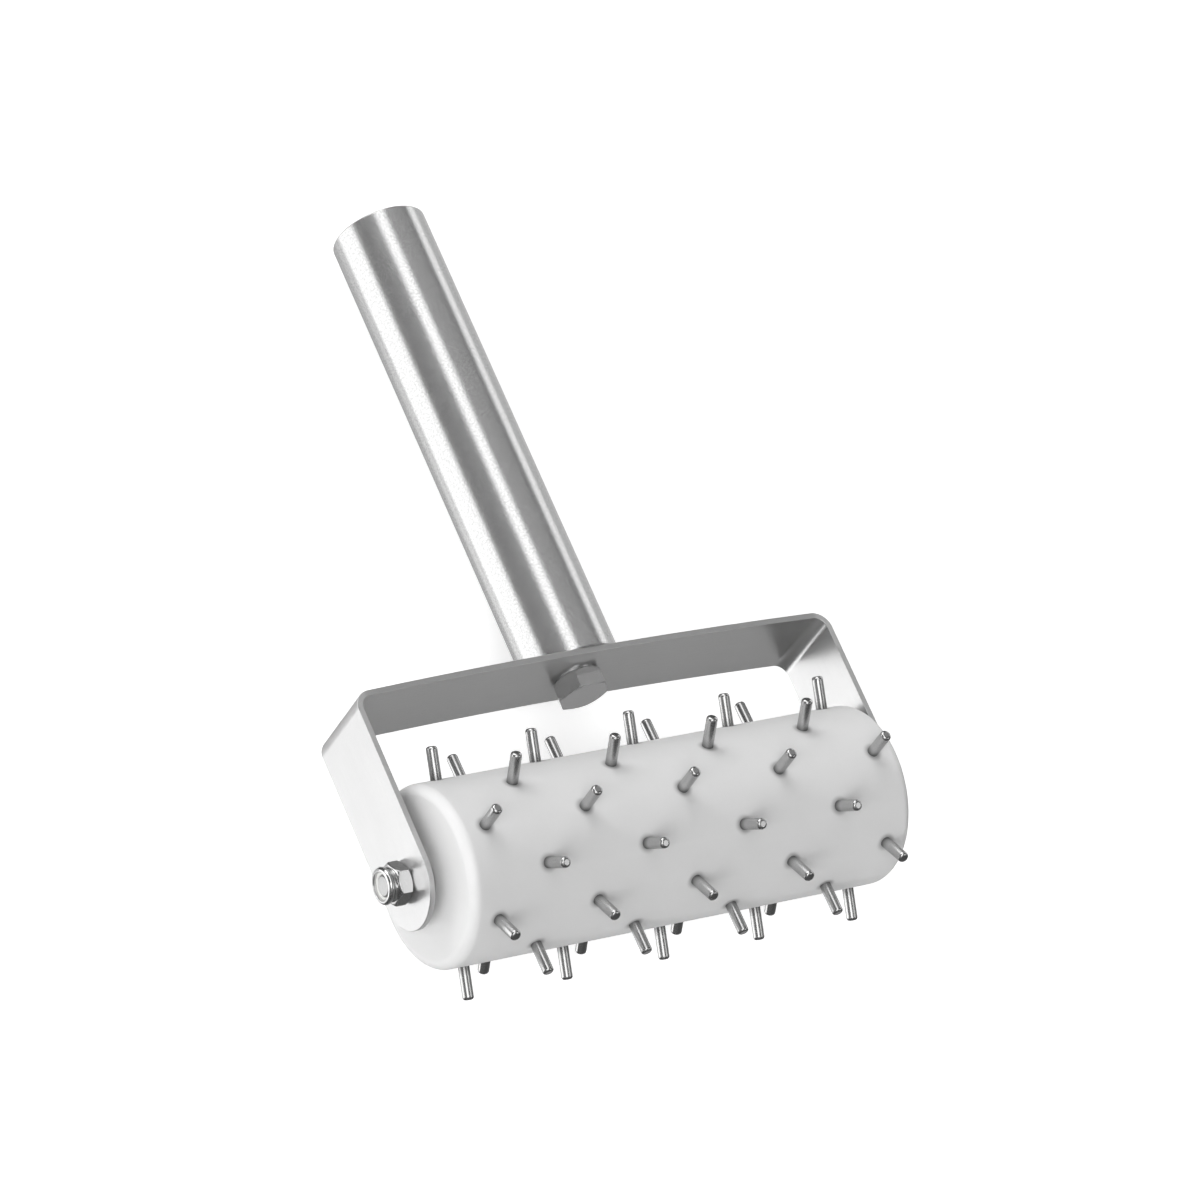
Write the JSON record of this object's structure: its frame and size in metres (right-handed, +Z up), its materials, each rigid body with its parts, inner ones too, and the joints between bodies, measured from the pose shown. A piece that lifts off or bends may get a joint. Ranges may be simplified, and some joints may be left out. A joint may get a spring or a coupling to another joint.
{
  "type": "dough docker",
  "caption": "Handheld dough docker: a plastic roller set with steel pins, turning on a bolt in a bent steel strip frame with a round tubular handle.",
  "frame": {"origin": "bottom centre of the bounding box, with the tool lying on its back on one row of pins and the far rim of the handle", "axes": "+X along the roller axle, away from the lock nut; +Y from the roller towards the free end of the handle, whose axis drops 5.9 degrees below +Y; +Z up from the floor"},
  "size_m": [0.1585, 0.2226, 0.0651],
  "materials": {
    "strip_steel": "satin",
    "handle_steel": "satin",
    "cap_steel": "satin",
    "plug_steel": "machined",
    "head_bolt_steel": "machined",
    "axle_steel": "machined",
    "nut_steel": "polished",
    "nylon": "matte",
    "spacer_plastic": "matte",
    "roller_plastic": "satin",
    "pin_steel": "polished"
  },
  "bodies": {
    "frame": {"yoke_frame": "strip_steel", "handle_tube": "handle_steel", "handle_end_cap": "cap_steel", "handle_threaded_plug": "plug_steel", "handle_bolt": "head_bolt_steel", "axle_bolt": "axle_steel", "axle_lock_nut": "nut_steel", "lock_nut_insert": "nylon", "spacer_left": "spacer_plastic", "spacer_right": "spacer_plastic"},
    "roller": {"roller_body": "roller_plastic", "pins_row_01": "pin_steel", "pins_row_02": "pin_steel", "pins_row_03": "pin_steel", "pins_row_04": "pin_steel", "pins_row_05": "pin_steel", "pins_row_06": "pin_steel", "pins_row_07": "pin_steel", "pins_row_08": "pin_steel", "pins_row_09": "pin_steel", "pins_row_10": "pin_steel", "pins_row_11": "pin_steel", "pins_row_12": "pin_steel"}
  },
  "joints": [
    {"name": "roller_spin", "type": "hinge", "parent": "frame", "child": "roller", "pos_m": [0.00145, -0.07875, 0.03253], "axis": [1, 0, 0], "continuous": true}
  ]
}
